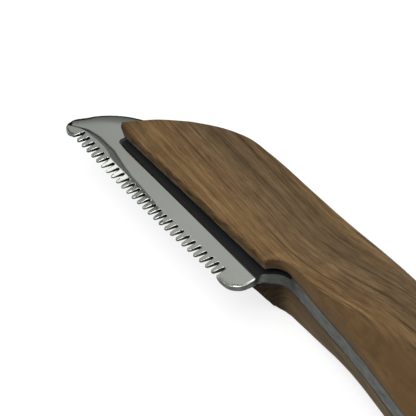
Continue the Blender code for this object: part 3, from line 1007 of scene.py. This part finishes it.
# Three short pins of turned steel run across the tang into blind holes in both scales. They hold the
# scales from inside together with the glue, so none of them shows.
turning_size = (0.002, 0.002, 0.00012)
turning_tones = [(0.3, 0.42), (0.7, 0.5)]
turning_roughness = [(0.3, 0.3), (0.7, 0.4)]

for name in pin_names:
    material, tree, shader = new_material("turned_" + name)
    shader.inputs["Metallic"].default_value = 1.0
    turning = noise(tree, object_place(tree, turning_size))
    tree.links.new(ramp(tree, turning, turning_tones), shader.inputs["Base Color"])
    tree.links.new(ramp(tree, turning, turning_roughness), shader.inputs["Roughness"])
    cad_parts[name].data.materials.clear()
    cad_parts[name].data.materials.append(material)

# The table top is plain and pale. The room behind it is a dome that is brighter overhead. Both are white
# to the camera and in the steel, and light the knife much less than that.
table_reach = 3.0
table_colour = (0.28, 0.28, 0.28, 1)
table_roughness = 0.8
table_glow = 0.76
room_side_light = 0.10
room_top_light = 0.75


def seen_directly(tree):
    """1 for rays from the camera, and for those that metal or glass sends on."""
    path = tree.nodes.new("ShaderNodeLightPath").outputs
    seen = calculated(tree, "MAXIMUM", path["Is Camera Ray"], path["Is Glossy Ray"])
    return calculated(tree, "MAXIMUM", seen, path["Is Transmission Ray"])


table_bm = bmesh.new()
bmesh.ops.create_grid(table_bm, x_segments=1, y_segments=1, size=table_reach)
table_mesh = bpy.data.meshes.new("table")
table_bm.to_mesh(table_mesh)
table_bm.free()
table = bpy.data.objects.new("table", table_mesh)
bpy.context.scene.collection.objects.link(table)
material, tree, shader = new_material("pale_table")
table_mesh.materials.append(material)
shader.inputs["Base Color"].default_value = table_colour
shader.inputs["Roughness"].default_value = table_roughness
shader.inputs["Specular IOR Level"].default_value = 0.0
shader.inputs["Emission Color"].default_value = (1, 1, 1, 1)
glow = calculated(tree, "MULTIPLY", seen_directly(tree), table_glow)
tree.links.new(glow, shader.inputs["Emission Strength"])

room = bpy.data.worlds.new("room")
bpy.context.scene.world = room
room.use_nodes = True
tree = room.node_tree
backdrop = tree.nodes["Background"]
backdrop.inputs["Color"].default_value = (1, 1, 1, 1)
upwards = axes_of(tree, tree.nodes.new("ShaderNodeTexCoord").outputs["Generated"])["Z"]
dome = tree.nodes.new("ShaderNodeMapRange")
dome.inputs["To Min"].default_value = room_side_light
dome.inputs["To Max"].default_value = room_top_light
tree.links.new(upwards, dome.inputs["Value"])
level = tree.nodes.new("ShaderNodeMapRange")
tree.links.new(dome.outputs["Result"], level.inputs["To Min"])
level.inputs["To Max"].default_value = 1.0
tree.links.new(seen_directly(tree), level.inputs["Value"])
tree.links.new(level.outputs["Result"], backdrop.inputs["Strength"])

# A wide soft lamp hangs over the table like a window. A card stands where the polished face mirrors it,
# painted in bands of grey and white that give the steel its tones. Only mirrors see the card.
lamp_place = Vector((-0.20, -0.35, 1.1))
lamp_width = 1.4
lamp_watts = 13
card_size = 1.0
card_distance = 0.70
card_way = Vector((-0.548, 0.418, 0.724))
card_across = Vector((-0.008, -0.869, 0.495))
card_along = card_way.cross(card_across)
across_bands = [
    (-0.180, 0.55),
    (-0.160, 0.05),
    (-0.100, 0.05),
    (-0.090, 0.42),
    (-0.052, 0.50),
    (-0.030, 0.62),
    (-0.011, 0.95),
    (0.001, 1.00),
    (0.0357, 1.00),
    (0.0415, 0.25),
    (0.0487, 0.25),
    (0.0537, 0.42),
    (0.062, 0.42),
    (0.0656, 0.12),
    (0.0764, 0.12),
    (0.080, 3.20),
    (0.130, 3.20),
    (0.148, 0.30),
    (0.200, 0.55),
]
along_bands = [
    (-0.370, 1.00),
    (-0.330, 0.05),
    (-0.205, 0.05),
    (-0.190, 0.40),
    (-0.123, 0.50),
    (0.012, 0.64),
    (0.042, 0.64),
    (0.049, 2.20),
    (0.100, 2.20),
    (0.107, 0.64),
    (0.150, 1.00),
]

lamp_data = bpy.data.lights.new("window", "AREA")
lamp_data.shape = "SQUARE"
lamp_data.size = lamp_width
lamp_data.energy = lamp_watts
lamp = bpy.data.objects.new("window", lamp_data)
lamp_turn = (-lamp_place).to_track_quat("-Z", "Y").to_matrix().to_4x4()
lamp.matrix_world = Matrix.Translation(lamp_place) @ lamp_turn
lamp.visible_glossy = False
bpy.context.scene.collection.objects.link(lamp)

card_turn = Matrix((card_across, card_along, card_way)).transposed().to_4x4()
card_stand = Matrix.Translation(card_way * card_distance) @ card_turn
card_bm = bmesh.new()
bmesh.ops.create_grid(card_bm, x_segments=1, y_segments=1, size=card_size / 2)
uv_layer = card_bm.loops.layers.uv.new("place")
for face in card_bm.faces:
    for loop in face.loops:
        loop[uv_layer].uv = loop.vert.co.xy
bmesh.ops.transform(card_bm, matrix=card_stand, verts=card_bm.verts)
card_mesh = bpy.data.meshes.new("grey_card")
card_bm.to_mesh(card_mesh)
card_bm.free()
card = bpy.data.objects.new("grey_card", card_mesh)
bpy.context.scene.collection.objects.link(card)
card.visible_camera = False
card.visible_diffuse = False
card.visible_shadow = False
material, tree, shader = new_material("grey_card")
card_mesh.materials.append(material)
shader.inputs["Base Color"].default_value = (0, 0, 0, 1)
shader.inputs["Specular IOR Level"].default_value = 0.0
shader.inputs["Emission Color"].default_value = (1, 1, 1, 1)
place = tree.nodes.new("ShaderNodeUVMap")
place.uv_map = "place"
sides = axes_of(tree, place.outputs["UV"])


def card_bands(tree, side, bands):
    """The card's brightness along one of its sides: pairs of a place from its middle and a level."""
    start, end = bands[0][0], bands[-1][0]
    share = tree.nodes.new("ShaderNodeMapRange")
    share.inputs["From Min"].default_value = start
    share.inputs["From Max"].default_value = end
    tree.links.new(side, share.inputs["Value"])
    stops = [((place - start) / (end - start), level) for place, level in bands]
    return ramp(tree, share.outputs["Result"], stops)


across = card_bands(tree, sides["X"], across_bands)
along = card_bands(tree, sides["Y"], along_bands)
tree.links.new(calculated(tree, "MULTIPLY", across, along), shader.inputs["Emission Strength"])

# The camera looks down at the blade from its toothed side, as in the photograph. It stands near and has a
# long lens, so only the front half of the knife is in the picture.
camera_azimuth = math.radians(52.66)
camera_elevation = math.radians(46.39)
camera_distance = 0.430
camera_lens = 182.36
sensor_width = 36
clip_start = 0.01
picture_middle = plate_low + Vector((0.028524, 0.016351, -0.007950))

camera_right = Vector((math.cos(camera_azimuth), math.sin(camera_azimuth), 0))
camera_back = Vector(
    (
        math.sin(camera_azimuth) * math.cos(camera_elevation),
        -math.cos(camera_azimuth) * math.cos(camera_elevation),
        math.sin(camera_elevation),
    )
)
camera_up = camera_back.cross(camera_right)
camera_turn = Matrix((camera_right, camera_up, camera_back)).transposed().to_4x4()
camera_data = bpy.data.cameras.new("camera")
camera_data.sensor_width = sensor_width
camera_data.lens = camera_lens
camera_data.clip_start = clip_start
camera = bpy.data.objects.new("camera", camera_data)
bpy.context.scene.collection.objects.link(camera)
camera.matrix_world = Matrix.Translation(picture_middle + camera_back * camera_distance) @ camera_turn
bpy.context.scene.camera = camera
bpy.context.scene.view_settings.view_transform = "Standard"
